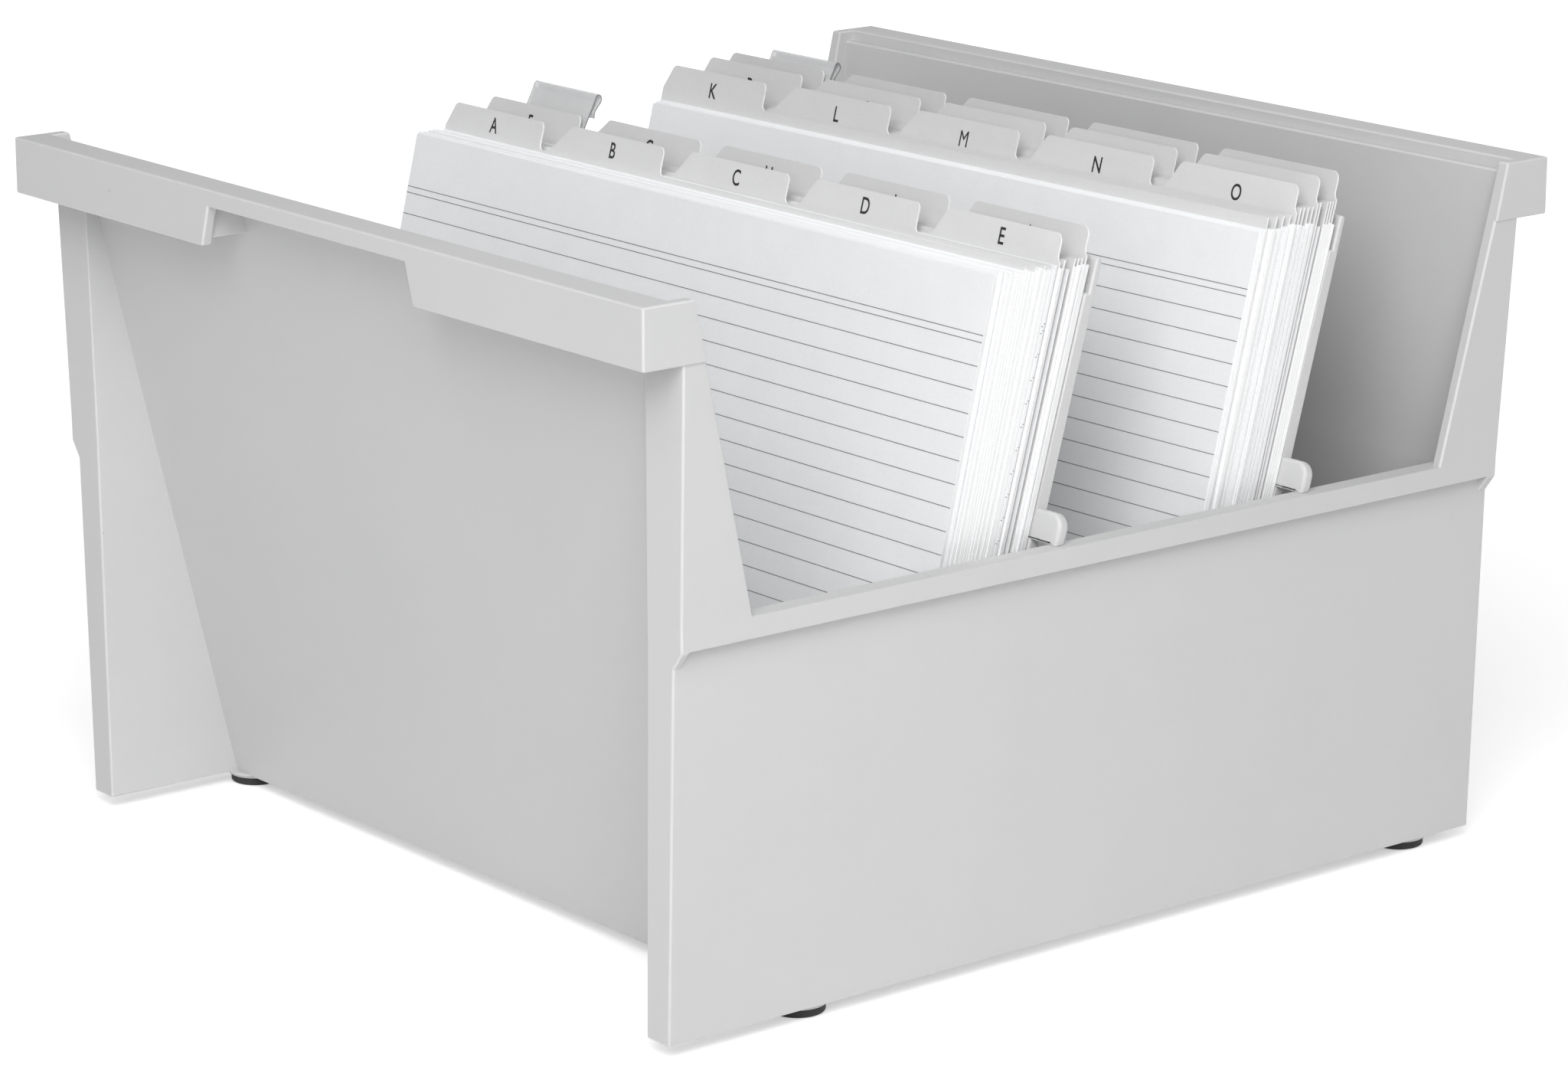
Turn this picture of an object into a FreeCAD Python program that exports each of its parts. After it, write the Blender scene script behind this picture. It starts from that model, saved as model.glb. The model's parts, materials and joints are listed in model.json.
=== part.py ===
import FreeCAD, Part
import math
import os

from FreeCAD import Vector

# Desk trough for A5 landscape index cards, with two packs of cards that lean back on sliding plates.
# X runs across the cards, Y from the front end to the rear end and Z up, all in millimetres.
# The origin lies on the desk under the middle of the trough.

# Cards and guides
card_width = 210.0
card_height = 148.0
card_thickness = 0.3
guide_overhang = 1.0
guide_rise = 1.2
guide_thickness = 0.4
tab_height = 6.5
tab_side_width = 4.2
end_side_width = 5.6
tab_radius = 1.8
tabs_across = 5
card_lift = 0.3
leaf_gap = 0.1
body_gap = 0.3

# Feet and the bosses that carry them
foot_radius = 6.0
foot_height = 1.8
foot_edge = 0.6
stem_radius = 2.3
stem_length = 2.6
stem_clearance = 0.1
stem_end_gap = 0.4
boss_height = 1.2
boss_foot_radius = 6.25
boss_root_radius = 7.25
foot_side_inset = 7.9
foot_front_inset = 5.0
foot_rear_inset = 14.8

# Trough: floor and side walls
wall = 2.5
floor_thickness = 2.5
trough_depth = 231.6
side_gap = 2.9
side_flare = 2.2
side_height = 88.6
rail_depth = 4.7
rail_overhang = 2.7
gusset_height = 3.8
gusset_width = 2.8

# Trough: end walls, corner pillars and wings
body_height = 155.8
front_wall_inset = 34.8
front_wall_lean = 13.14
front_face_flare = 0.7
rear_face_flare = 2.6
pillar_wall = 2.0
pillar_width_low = 7.4
pillar_side_lean = 1.8
wing_flare = 2.3
wing_low_thickness = 2.4
wing_top_thickness = 3.0
wing_low_reach = 18.1
wing_top_reach = 4.6

# Trough: handle bars
bar_reach = 10.8
bar_depth = 8.2
bar_thickness = 3.9
ledge_drop = 2.5
lip_height = 12.9
cap_thickness = 2.5
grip_top_half = 37.0
grip_low_half = 40.0
grip_web = 2.0
grip_web_height = 7.6

# Support plates
plate_thickness = 2.8
plate_length = 149.5
plate_lean = 16.0
plate_lift = 0.3
first_plate_y = -14.9
plate_spacing = 71.8
plate_top_radius = 0.7
recess_height = 7.8
recess_depth = 1.2
recess_radius = 0.8
ear_reach = 8.0
ear_height = 6.9
ear_corner = 3.2
ear_edge = 0.9
ear_root = 1.5
tooth_count = 7
tooth_pitch = 0.64
tooth_depth = 0.3
tooth_inset = 2.2

# Card packs: depth at the foot and at the top of the cards, and where each guide's top stands
first_pack_foot = 20.0
first_pack_top = 26.0
second_pack_foot = 20.0
second_pack_top = 24.6
first_guide_shares = [0.308, 0.419, 0.512, 0.588, 0.662, 0.712, 0.818, 0.856, 0.895, 0.935]
second_guide_shares = [0.081, 0.198, 0.286, 0.375, 0.450, 0.496, 0.544, 0.601, 0.657, 0.714,
                       0.750, 0.846, 0.881, 0.916, 0.952]
first_carrier_share = 0.772
second_carrier_share = 0.803
first_tipped = 5
second_tipped = 5

# Riders
rider_width = 24.5
rider_from_edge = 14.0
rider_sheet = 0.35
rider_play = 0.2
rider_grip = 3.0
rider_ledge_rise = 4.5
rider_top_rise = 14.2
rider_window_lean = 11.0
rider_loop_depth = 1.6
loop_bend_shares = [(0.5, 0.0), (0.0, 0.35), (0.25, 1.0), (1.0, 1.3)]
rider_pinch_rise = 10.0
rider_pinch_share = 0.5
rider_tail_rise = 8.4
rider_tail_gap = 0.9
label_sheet = 0.2
label_gap = 0.1
label_margin = 0.5

# How far a cutting piece passes the surface it cuts, and how near an edge lies that is looked up by place
cut_margin = 1.0
edge_reach = 0.05

# Worked out sizes
origin = Vector(0, 0, 0)
across = Vector(1, 0, 0)
base_z = foot_height + boss_height
floor_z = base_z + floor_thickness
leaf_z = floor_z + card_lift
rail_top = base_z + side_height
rail_under = rail_top - rail_depth
top_z = base_z + body_height
ledge_z = top_z - ledge_drop
bar_under = top_z - bar_thickness
lip_under = top_z - lip_height
card_half = card_width / 2
guide_width = card_width + 2 * guide_overhang
guide_height = card_height + guide_rise
inner_low = card_half + side_gap
outer_low = inner_low + wall
inner_rail = inner_low + side_flare
outer_rail_low = outer_low + side_flare
rail_half = outer_rail_low + rail_overhang
bar_half = rail_half + wing_flare
front_face = -trough_depth / 2
rear_face = trough_depth / 2
front_lip = front_face - bar_reach
rear_lip = rear_face + bar_reach
front_top_face = front_face - front_face_flare
rear_top_face = rear_face + rear_face_flare
wall_slope = math.tan(math.radians(front_wall_lean))
wall_run = wall / math.cos(math.radians(front_wall_lean))
wall_foot = front_face + front_wall_inset
foot_from_middle = outer_low - foot_side_inset
front_foot_y = wall_foot + foot_front_inset
rear_foot_y = rear_face - foot_rear_inset


def prism_x(points, low, high):
    """A prism along X of an outline in Y and Z."""
    corners = [Vector(low, y, z) for y, z in points]
    face = Part.Face(Part.makePolygon(corners + corners[:1]))
    return face.extrude(Vector(high - low, 0, 0))


def prism_y(points, low, high):
    """A prism along Y of an outline in X and Z."""
    corners = [Vector(x, low, z) for x, z in points]
    face = Part.Face(Part.makePolygon(corners + corners[:1]))
    return face.extrude(Vector(0, high - low, 0))


def mirrored(shape):
    """The same shape on the other side of the trough."""
    return shape.mirror(origin, across)


def both_sides(shape):
    return [shape, mirrored(shape)]


def front_wall_y(z):
    """The outer face of the slanted front wall at a height."""
    return wall_foot - (z - base_z) * wall_slope


def end_outline():
    """The outer edge of the trough's end plates, with the small gusset under the rail."""
    gusset_x = rail_half - gusset_width
    right = [(outer_low, base_z), (gusset_x, rail_under - gusset_height), (rail_half, rail_under),
             (rail_half, rail_top), (bar_half, top_z)]
    left = [(-x, z) for x, z in reversed(right)]
    return right + left


def inside_outline():
    """An outline that ends in the middle of the side walls, the rails and the wings."""
    half = wall / 2
    right = [(outer_low - half, base_z), (outer_rail_low - half, rail_under), (rail_half - half, rail_under),
             (rail_half - half, rail_top), (bar_half - half, top_z)]
    left = [(-x, z) for x, z in reversed(right)]
    return right + left


def side_wall():
    outline = [(inner_low, base_z), (outer_low, base_z), (outer_rail_low, rail_under),
               (rail_half, rail_under), (rail_half, rail_top), (inner_rail, rail_top),
               (inner_rail, rail_under)]
    return prism_y(outline, front_face, rear_face)


def floor_plate():
    outline = [(-outer_low, base_z), (outer_low, base_z), (inner_low, floor_z), (-inner_low, floor_z)]
    return prism_y(outline, wall_foot, rear_face)


def front_wall():
    """The slanted wall between the pillars, up to the ledge."""
    outline = [(wall_foot, base_z), (wall_foot + wall_run, base_z),
               (front_wall_y(ledge_z) + wall_run, ledge_z), (front_wall_y(ledge_z), ledge_z)]
    slab = prism_x(outline, -bar_half, bar_half)
    return slab.common(prism_y(inside_outline(), front_lip, 0))


def rear_wall():
    """The upright rear wall, flush with the ends of the side walls."""
    reach = rear_top_face - rear_face
    rise_share = (ledge_z - rail_under) / (top_z - rail_under)
    outline = [(rear_face - wall, base_z), (rear_face, base_z), (rear_face, rail_under),
               (rear_face + reach * rise_share, ledge_z), (rear_face - wall + reach * rise_share, ledge_z),
               (rear_face - wall, rail_under)]
    slab = prism_x(outline, -bar_half, bar_half)
    return slab.common(prism_y(end_outline(), 0, rear_lip))


def pillar():
    """One hollow corner pillar: its front plate and the web behind the plate's inner edge."""
    low_x = outer_low - pillar_width_low
    top_x = low_x + pillar_side_lean
    face_slab = prism_x([(front_face, base_z), (front_face, rail_under), (front_top_face, ledge_z),
                         (front_top_face + pillar_wall, ledge_z), (front_face + pillar_wall, rail_under),
                         (front_face + pillar_wall, base_z)], 0, bar_half)
    face_side = prism_y([(low_x, base_z), (bar_half + cut_margin, base_z),
                         (bar_half + cut_margin, top_z), (top_x, top_z)], front_lip, 0)
    face = face_slab.common(face_side).common(prism_y(end_outline(), front_lip, 0))
    web_slab = prism_y([(low_x, base_z), (low_x + pillar_wall, base_z), (top_x + pillar_wall, top_z),
                        (top_x, top_z)], front_lip, 0)
    web_front = front_face + pillar_wall / 2
    web_rear = wall_foot + wall_run / 2
    web_top = base_z + (web_rear - web_front) / wall_slope
    web_side = prism_x([(web_front, base_z), (web_rear, base_z), (web_front, web_top)], 0, bar_half)
    return face.fuse(web_slab.common(web_side))


def wing(y_sign, end_top):
    """The triangular plate above the rail beside one end wall."""
    end = abs(front_face)
    cap_inner = end + bar_reach - bar_depth
    lip_share = (lip_under - rail_top) / (top_z - rail_top)
    outline = [(end - wing_low_reach, rail_top), (end, rail_top), (end + end_top * lip_share, lip_under),
               (cap_inner, lip_under), (cap_inner, top_z), (cap_inner - wing_top_reach, top_z)]
    slab = prism_x([(y_sign * y, z) for y, z in outline], 0, bar_half)
    side = prism_y([(rail_half - wing_low_thickness, rail_top), (rail_half, rail_top), (bar_half, top_z),
                    (bar_half - wing_top_thickness, top_z)], front_lip, rear_lip)
    return slab.common(side)


def handle_bar(y_sign, wall_top, wall_low):
    """One end bar: its top, its lip with the grip cut-out, the end caps and the webs beside the grip."""
    lip = abs(front_lip)
    inner = lip - bar_depth
    half_width = bar_half

    def plate(corners, x_low, x_high):
        return prism_x([(y_sign * y, z) for y, z in corners], x_low, x_high)

    def slab(y_near, y_far, z_low, z_high, x_low, x_high):
        corners = [(y_near, z_low), (y_far, z_low), (y_far, z_high), (y_near, z_high)]
        return plate(corners, x_low, x_high)

    top = slab(inner, lip, bar_under, top_z, -half_width, half_width)
    ledge = slab(wall_top, inner, bar_under, ledge_z, -half_width + wall, half_width - wall)
    front = slab(lip - wall, lip, lip_under, top_z, -half_width, half_width)
    cap_share = lip_height / (top_z - rail_top)
    cap_top = inner - wing_top_reach
    cap_low = cap_top + (abs(front_face) - wing_low_reach - cap_top) * cap_share
    cap = plate([(cap_low, lip_under), (lip, lip_under), (lip, top_z), (cap_top, top_z)],
                half_width - cap_thickness, half_width)
    grip = prism_y([(-grip_low_half, lip_under - cut_margin), (grip_low_half, lip_under - cut_margin),
                    (grip_top_half, bar_under), (-grip_top_half, bar_under)], front_lip, rear_lip)
    keep = slab(lip - wall, lip + cut_margin, lip_under - cut_margin, bar_under, -half_width, half_width)
    web = slab(wall_low, lip - wall / 2, bar_under - grip_web_height, bar_under, grip_low_half,
               grip_low_half + grip_web)
    bar = top.fuse([ledge, front] + both_sides(cap) + both_sides(web))
    return bar.cut(grip.common(keep))


def foot_places():
    return [(x_sign * foot_from_middle, y) for y in (front_foot_y, rear_foot_y) for x_sign in (-1, 1)]


def boss(x, y):
    """The cone under the floor that one foot is pushed into."""
    return Part.makeCone(boss_foot_radius, boss_root_radius, boss_height, Vector(x, y, foot_height))


def stem_hole(x, y):
    return Part.makeCylinder(stem_radius + stem_clearance, stem_length + stem_end_gap,
                             Vector(x, y, foot_height))


def trough_body():
    pieces = both_sides(side_wall()) + both_sides(pillar())
    pieces += both_sides(wing(-1, front_face_flare)) + both_sides(wing(1, rear_face_flare))
    pieces += [front_wall(), rear_wall()]
    front_inner = -(front_wall_y(ledge_z) + wall_run / 2)
    pieces.append(handle_bar(-1, front_inner, -front_wall_y(bar_under - grip_web_height)))
    pieces.append(handle_bar(1, rear_top_face - wall / 2, rear_top_face - wall / 2))
    pieces += [boss(x, y) for x, y in foot_places()]
    body = floor_plate().fuse(pieces)
    for x, y in foot_places():
        body = body.cut(stem_hole(x, y))
    return body.removeSplitter()


def foot(x, y):
    """A rubber pad with a rounded rim and a stem in the boss."""
    pad = Part.makeCylinder(foot_radius, foot_height, Vector(x, y, 0))
    rim = [edge for edge in pad.Edges if edge.BoundBox.ZMax < foot_edge]
    pad = pad.makeFillet(foot_edge, rim)
    stem = Part.makeCylinder(stem_radius, stem_length, Vector(x, y, foot_height))
    return pad.fuse(stem).removeSplitter()


def leaned(shape, y, z, lean):
    """A piece drawn upright at the origin, leaned back and stood on the line at y, z."""
    shape.rotate(origin, across, -lean)
    shape.translate(Vector(0, y, z))
    return shape


def edges_at(shape, y, z):
    """The edges along X that pass a place in the upright section."""
    found = []
    for edge in shape.Edges:
        box = edge.BoundBox
        near = abs(box.YMin - y) < edge_reach and abs(box.YMax - y) < edge_reach
        level = abs(box.ZMin - z) < edge_reach and abs(box.ZMax - z) < edge_reach
        if near and level and box.XLength > card_half:
            found.append(edge)
    return found


def plate_foot_z():
    return floor_z + plate_lift + plate_thickness * math.sin(math.radians(plate_lean))


def plate_foot_y(rail_y):
    return rail_y - (rail_top - plate_foot_z()) * math.tan(math.radians(plate_lean))


def ear(rail_y):
    """One ear, with rounded edges and a row of teeth where it stands on the rail."""
    lean = math.radians(plate_lean)
    low = (rail_top - plate_foot_z()) / math.cos(lean)
    start = low - plate_thickness
    end_x = card_half + ear_reach
    top = low + ear_height
    block = prism_y([(card_half - ear_root, start), (end_x, start), (end_x, top), (card_half - ear_root, top)],
                    0, plate_thickness)
    corner = [edge for edge in block.Edges
              if edge.BoundBox.XMin > end_x - edge_reach and edge.BoundBox.ZMin > top - edge_reach
              and edge.BoundBox.YLength > plate_thickness / 2]
    block = block.makeFillet(ear_corner, corner)
    rim = [edge for edge in block.Edges
           if edge.BoundBox.YLength < edge_reach and edge.BoundBox.ZMax > low
           and edge.BoundBox.XMax > card_half]
    block = block.makeFillet(ear_edge, rim)
    block = leaned(block, plate_foot_y(rail_y), plate_foot_z(), plate_lean)
    below = prism_x([(rail_y - plate_length, floor_z), (rail_y + plate_length, floor_z),
                     (rail_y + plate_length, rail_top), (rail_y - plate_length, rail_top)], 0, bar_half)
    block = block.cut(below)
    for index in range(tooth_count):
        left = card_half + tooth_inset + index * tooth_pitch
        groove = prism_y([(left, rail_top), (left + tooth_pitch / 2, rail_top),
                          (left + tooth_pitch / 2, rail_top + tooth_depth), (left, rail_top + tooth_depth)],
                         rail_y - plate_thickness, rail_y + plate_thickness * 2)
        block = block.cut(groove)
    return block


def support_plate(rail_y):
    """A plate with a stepped, rounded top edge and two ears that hang on the rails."""
    shoulder = plate_length - recess_height
    body = prism_x([(0, 0), (plate_thickness, 0), (plate_thickness, plate_length),
                    (recess_depth, plate_length), (recess_depth, shoulder), (0, shoulder)],
                   -card_half, card_half)
    body = body.makeFillet(plate_top_radius, edges_at(body, recess_depth, plate_length)
                           + edges_at(body, plate_thickness, plate_length))
    body = body.makeFillet(recess_radius, edges_at(body, 0, shoulder))
    body = leaned(body, plate_foot_y(rail_y), plate_foot_z(), plate_lean)
    right = ear(rail_y)
    return body.fuse(both_sides(right)).removeSplitter()


class Pack:
    """Cards between a leaned front card and a support plate: each face has a foot and a lean."""

    def __init__(self, rail_y, foot_depth, top_depth):
        lean = math.radians(plate_lean)
        plate_y = rail_y - (rail_top - leaf_z) * math.tan(lean)
        self.rear_foot = plate_y - body_gap
        self.rear_top = self.rear_foot + card_height * math.sin(lean)
        self.foot_depth = foot_depth
        self.top_depth = top_depth

    def face(self, share):
        """Foot y and lean in radians of the plane at a share of the pack's depth."""
        foot_y = self.rear_foot - self.foot_depth * (1 - share)
        top_y = self.rear_top - self.top_depth * (1 - share)
        return foot_y, math.asin((top_y - foot_y) / card_height)


def behind(face, thickness):
    """The parallel face on the other side of a sheet."""
    foot_y, lean = face
    return foot_y + thickness / math.cos(lean), lean


def stack(front, rear):
    """The cards between two faces, as one closed solid."""
    outline = []
    for foot_y, lean in (front, rear):
        outline.append((foot_y, leaf_z))
        outline.append((foot_y + card_height * math.sin(lean), leaf_z + card_height * math.cos(lean)))
    low_front, top_front, low_rear, top_rear = outline
    return prism_x([low_front, low_rear, top_rear, top_front], -card_half, card_half)


def sheet(front, thickness):
    """One card of even thickness."""
    return stack(front, behind(front, thickness))


def tab_side(base_x, direction, width):
    """The S-shaped side of a tab: two arcs and the line that touches both."""
    rise = tab_height - 2 * tab_radius
    reach = math.hypot(width, rise)
    turn = math.atan2(rise, width) + math.asin(2 * tab_radius / reach)

    def place(x, z):
        return Vector(base_x + direction * x, 0, guide_height + z)

    def on_low(angle):
        return place(tab_radius * math.sin(angle), tab_radius - tab_radius * math.cos(angle))

    def on_high(angle):
        return place(width - tab_radius * math.sin(angle), tab_height - tab_radius + tab_radius * math.cos(angle))

    low = Part.Arc(on_low(0), on_low(turn / 2), on_low(turn)).toShape()
    line = Part.LineSegment(on_low(turn), on_high(turn)).toShape()
    high = Part.Arc(on_high(turn), on_high(turn / 2), on_high(0)).toShape()
    return [low, line, high]


def guide(front, place):
    """An index guide whose tab stands at one of the places across the board."""
    pitch = guide_width / tabs_across
    half = guide_width / 2
    left = place * pitch - half
    right = left + pitch
    left_width = end_side_width if place == 0 else tab_side_width
    right_width = end_side_width if place == tabs_across - 1 else tab_side_width
    edges = tab_side(left, 1, left_width) + tab_side(right, -1, right_width)
    tab_top = guide_height + tab_height
    edges.append(Part.LineSegment(Vector(left + left_width, 0, tab_top),
                                  Vector(right - right_width, 0, tab_top)).toShape())
    rim = [Vector(right, 0, guide_height), Vector(half, 0, guide_height), Vector(half, 0, 0),
           Vector(-half, 0, 0), Vector(-half, 0, guide_height), Vector(left, 0, guide_height)]
    for start, end in zip(rim[:-1], rim[1:]):
        if (end - start).Length > edge_reach:
            edges.append(Part.LineSegment(start, end).toShape())
    wire = Part.Wire(Part.__sortEdges__(edges))
    solid = Part.Face(wire).extrude(Vector(0, guide_thickness, 0))
    foot_y, lean = front
    return leaned(solid, foot_y, leaf_z, math.degrees(lean))


def ribbon(points, thickness):
    """The outline of a bent sheet that follows points in Y and Z, on the left of the path."""
    offsets = []
    for index, (y, z) in enumerate(points):
        ahead = points[min(index + 1, len(points) - 1)]
        back = points[max(index - 1, 0)]
        step_in = unit(y - back[0], z - back[1])
        step_out = unit(ahead[0] - y, ahead[1] - z)
        if index == 0:
            step_in = step_out
        if index == len(points) - 1:
            step_out = step_in
        normal_in = (step_in[1], -step_in[0])
        normal_out = (step_out[1], -step_out[0])
        scale = thickness / (1 + normal_in[0] * normal_out[0] + normal_in[1] * normal_out[1])
        offsets.append((y + scale * (normal_in[0] + normal_out[0]), z + scale * (normal_in[1] + normal_out[1])))
    return points + offsets[::-1]


def unit(dy, dz):
    length = math.hypot(dy, dz)
    if length == 0:
        return 0, 0
    return dy / length, dz / length


def rider_span():
    left = rider_from_edge - card_half
    return left, left + rider_width


def rider_path(carrier):
    """The bend line of a rider, from the end of its front leg over the window's loop to the tail."""
    foot_y, lean = carrier

    def on_card(rise, back):
        length = card_height + rise
        y = foot_y + length * math.sin(lean) + back * math.cos(lean)
        z = leaf_z + length * math.cos(lean) - back * math.sin(lean)
        return y, z

    front = -rider_play - rider_sheet
    top_back = front + (rider_top_rise - rider_ledge_rise) * math.tan(math.radians(rider_window_lean))
    return on_card, front, top_back


def rider(carrier):
    """A bent clear sheet with a window above and two legs that hold the carrier card's top edge."""
    on_card, front, top_back = rider_path(carrier)
    rear = card_thickness + rider_play
    window = [on_card(-rider_grip, front), on_card(rider_ledge_rise, front)]
    for below, back in loop_bend_shares:
        window.append(on_card(rider_top_rise - rider_loop_depth * below, top_back + rider_loop_depth * back))
    window.append(on_card(rider_pinch_rise, top_back + rider_loop_depth * rider_pinch_share))
    window.append(on_card(rider_tail_rise, top_back + rider_tail_gap))
    clip = [on_card(-rider_grip, rear + rider_sheet), on_card(rider_ledge_rise, rear + rider_sheet),
            on_card(rider_ledge_rise, front)]
    left, right = rider_span()
    front_sheet = prism_x(ribbon(window, rider_sheet), left, right)
    rear_sheet = prism_x(ribbon(clip, -rider_sheet), left, right)
    return front_sheet.fuse(rear_sheet).removeSplitter()


def rider_label(carrier):
    """The blank paper strip behind the rider's window, standing on the ledge."""
    on_card, front, top_back = rider_path(carrier)
    inner = rider_sheet + label_gap
    low = rider_ledge_rise + label_gap
    high = rider_top_rise - rider_loop_depth
    window_top = rider_top_rise - rider_loop_depth * loop_bend_shares[0][0]
    label_share = (high - rider_ledge_rise) / (window_top - rider_ledge_rise)
    top = front + (top_back - front) * label_share
    outline = [on_card(low, front + inner), on_card(low, front + inner + label_sheet),
               on_card(high, top + inner + label_sheet), on_card(high, top + inner)]
    left, right = rider_span()
    return prism_x(outline, left + label_margin, right - label_margin)


def first_pack(pack):
    """Front card, guides A to J and the cards between them, in order from the front."""
    nodes = {}
    card = pack.face(0)
    nodes["front_card_1"] = sheet(card, card_thickness)
    previous = behind(card, card_thickness + leaf_gap)
    for index, share in enumerate(first_guide_shares):
        letter = "abcdefghij"[index]
        face = pack.face(share)
        if index == first_tipped:
            nodes["cards_1_before_" + letter] = stack(previous, behind(face, -body_gap))
        elif index == first_tipped + 1:
            carrier = pack.face(first_carrier_share)
            nodes["rider_card_1"] = sheet(carrier, card_thickness)
            nodes["rider_1"] = rider(carrier)
            nodes["rider_label_1"] = rider_label(carrier)
        else:
            nodes["cards_1_before_" + letter] = stack(previous, face)
        nodes["guide_" + letter] = guide(face, index % tabs_across)
        previous = behind(face, guide_thickness)
    nodes["cards_1_last"] = stack(previous, pack.face(1))
    return nodes


def second_pack(pack):
    """Front card, guides K to Z and the cards between them. X and Y share one guide."""
    nodes = {}
    card = pack.face(0)
    nodes["front_card_2"] = sheet(card, card_thickness)
    previous = behind(card, card_thickness + leaf_gap)
    letters = ["k", "l", "m", "n", "o", "p", "q", "r", "s", "t", "u", "v", "w", "xy", "z"]
    fourth_row = []
    last_row = []
    for index, (letter, share) in enumerate(zip(letters, second_guide_shares)):
        face = pack.face(share)
        if index < second_tipped:
            nodes["cards_2_before_" + letter] = stack(previous, face)
        elif index == second_tipped:
            nodes["cards_2_before_" + letter] = stack(previous, behind(face, -body_gap))
        elif letter in "qrst":
            fourth_row.append(stack(previous, face))
        elif letter == "u":
            nodes["cards_2_before_u"] = stack(previous, face)
        elif letter == "v":
            carrier = pack.face(second_carrier_share)
            nodes["rider_card_2"] = sheet(carrier, card_thickness)
            nodes["rider_2"] = rider(carrier)
            nodes["rider_label_2"] = rider_label(carrier)
        else:
            last_row.append(stack(previous, face))
        nodes["guide_" + letter] = guide(face, index % tabs_across)
        previous = behind(face, guide_thickness)
    last_row.append(stack(previous, pack.face(1)))
    nodes["cards_2_among_p_to_t"] = Part.makeCompound(fourth_row)
    nodes["cards_2_among_v_to_z"] = Part.makeCompound(last_row)
    return nodes


def model():
    """Every piece of the trough and its cards, by name."""
    nodes = {"trough_body": trough_body()}
    for index, (x, y) in enumerate(foot_places()):
        nodes["foot_" + str(index + 1)] = foot(x, y)
    second_plate_y = first_plate_y + plate_spacing
    nodes["support_plate_1"] = support_plate(first_plate_y)
    nodes["support_plate_2"] = support_plate(second_plate_y)
    nodes.update(first_pack(Pack(first_plate_y, first_pack_foot, first_pack_top)))
    nodes.update(second_pack(Pack(second_plate_y, second_pack_foot, second_pack_top)))
    return nodes


os.makedirs("parts", exist_ok=True)
for name, shape in model().items():
    shape.exportStep("parts/" + name + ".step")
    print(name, shape.isValid(), len(shape.Solids), round(shape.Volume))
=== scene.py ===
import json
import math

import bmesh
import bpy
import numpy as np
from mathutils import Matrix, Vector


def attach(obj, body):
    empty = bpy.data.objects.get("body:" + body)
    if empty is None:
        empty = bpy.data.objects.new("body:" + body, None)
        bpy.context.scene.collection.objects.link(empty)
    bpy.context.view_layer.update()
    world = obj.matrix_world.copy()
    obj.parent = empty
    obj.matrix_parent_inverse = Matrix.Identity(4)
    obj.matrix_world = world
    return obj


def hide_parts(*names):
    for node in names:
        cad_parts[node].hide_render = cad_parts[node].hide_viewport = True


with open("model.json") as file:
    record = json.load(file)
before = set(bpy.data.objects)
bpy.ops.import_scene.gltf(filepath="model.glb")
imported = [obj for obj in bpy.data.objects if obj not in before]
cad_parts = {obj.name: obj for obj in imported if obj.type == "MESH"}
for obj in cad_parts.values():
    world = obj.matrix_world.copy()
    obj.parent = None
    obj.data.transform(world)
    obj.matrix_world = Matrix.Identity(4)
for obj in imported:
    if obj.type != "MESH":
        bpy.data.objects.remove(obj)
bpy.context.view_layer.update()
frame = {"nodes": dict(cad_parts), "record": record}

# Card trough with two packs of ruled cards, lettered guides, support plates and clear riders.
# Everything is in metres, X across the cards, Y from the front end to the rear end and Z up.

seed = 7

# Reading the CAD meshes: joined vertices, flat angles in degrees, and the bands that hold the leaves' ends
merge_reach = 1e-5
flat_angle = 0.05
section_digits = 5
foot_band = 0.0006
top_band = 0.0035

# Rounded edges, from the least corner in degrees
shell_round = 0.0004
plate_round = 0.0004
round_steps = 2
least_corner = 20.0
free_share = 0.4

# Cards in loose groups, and how far groups and single cards stand out of line
card_width = 0.210
card_height = 0.148
card_thickness = 0.000287
card_pitch = 0.000295
across_steps = 4
up_steps = 2
group_cards = 7.0
group_side = 0.00034
group_top = 0.00045
group_turn = 0.0013
single_side = 0.00005
single_top = 0.00028
tight_gap = 0.02
snug = 1.04
most_swell = 2.2
edge_margin = 0.0015

# The last two cards of one stack show their rules on their side edges
ticked_stack = "cards_1_before_e"
ticked_count = 2
tick_offset = 0.0007

# Printed rules, measured down from the card's top, and the skew of the packs in plan
proud = 0.00003
first_rule = 0.0125
second_rule = 0.0140
rule_pitch = 0.0050
rule_width = 0.00019
skew_shares = {1: -0.006, 2: 0.018}

# Guides: a tab's left side has a width for each place, and its top stands tab_left_top from the tab's left end
guide_width = 0.212
guide_side = 0.1049
guide_height = 0.1492
guide_thickness = 0.0004
tab_height = 0.0065
tab_left_widths = (0.0078, 0.0086, 0.0076, 0.0066, 0.0064)
tab_left_top = 0.0052
tab_right_width = 0.0030
end_side_width = 0.0040
tab_radius = 0.0021
tab_right_inset = 0.0018
tabs_across = 5
arc_steps = 8

# Letters: how far the letters of each row stand above the boards' shoulders, and how much taller its boards are
letter_height = 0.0037
letter_width_share = 0.80
letter_spread = 1.012
letter_boldness = 0.011
thin_letters = ("M", "W")
letter_rises = {1: (0.0031, 0.0023), 2: (0.0021, 0.0015, 0.0012)}
row_rises = {1: (0.0, 0.0010), 2: (0.0020, 0.0034, 0.0042)}
# The finish of each row's boards, darker for the rows behind: painted shade from the rows in front
row_shaded_boards = ("guide_board", "guide_board_shaded_second", "guide_board_shaded_third")

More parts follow.
